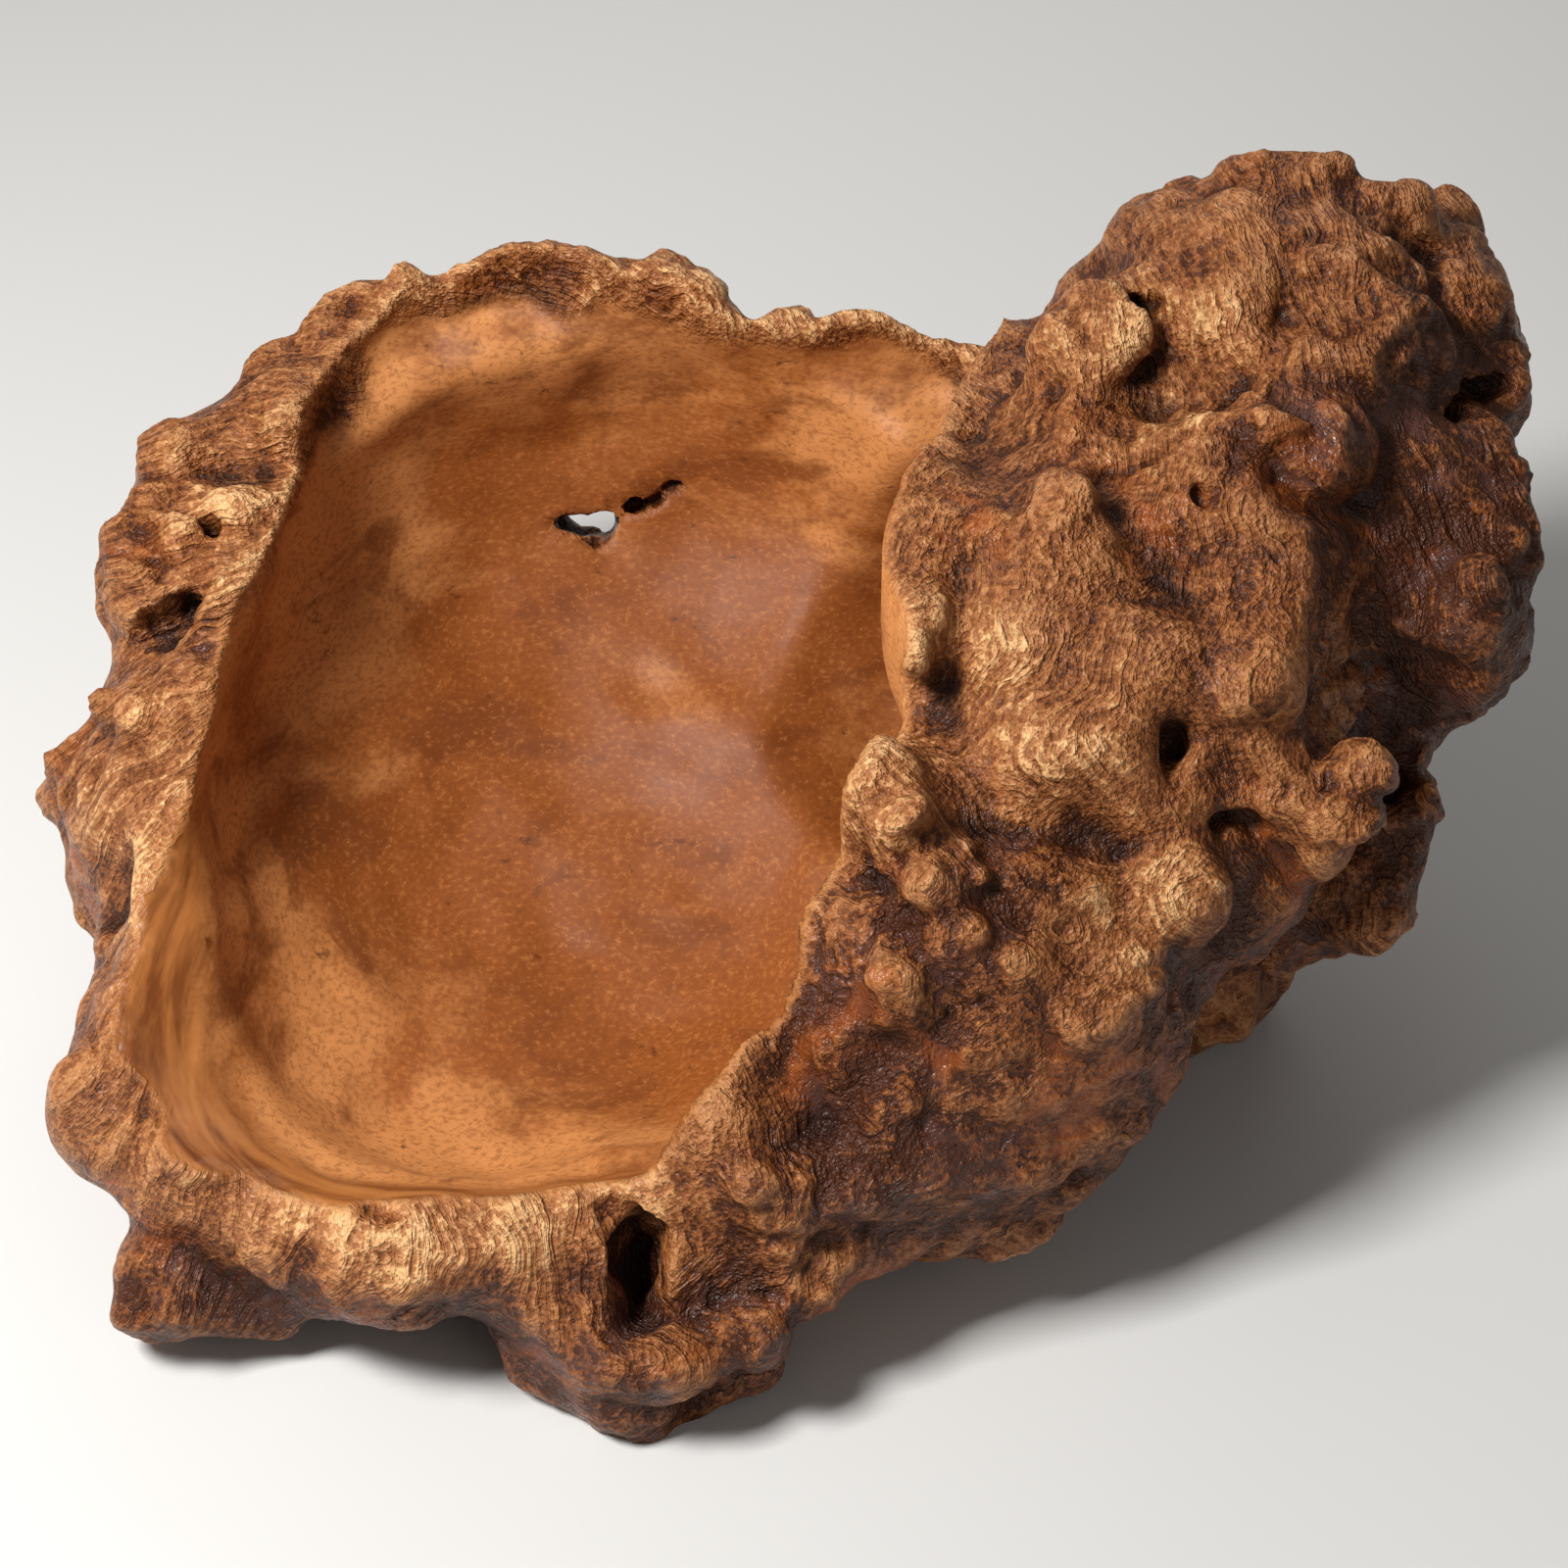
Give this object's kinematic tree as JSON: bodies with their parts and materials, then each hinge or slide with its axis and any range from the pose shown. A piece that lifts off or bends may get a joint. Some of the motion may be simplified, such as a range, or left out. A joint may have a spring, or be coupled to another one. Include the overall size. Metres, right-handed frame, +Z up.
{
  "type": "tree burl",
  "caption": "Gnarled tree burl hollowed into a deep bowl, its mouth sloping up to a thin back rim, with a rough wooden hood over the right side.",
  "frame": {"origin": "on the levelled resting face, at the middle of the outline in plan", "axes": "+X along the longest side, towards the hooded end; +Y towards the high back rim; +Z up"},
  "size_m": [0.6354, 0.4674, 0.338],
  "materials": {
    "burl_wood": "rough gnarled outside, smooth satin carved inside"
  },
  "bodies": {
    "root": {"burl": "burl_wood"}
  },
  "joints": []
}
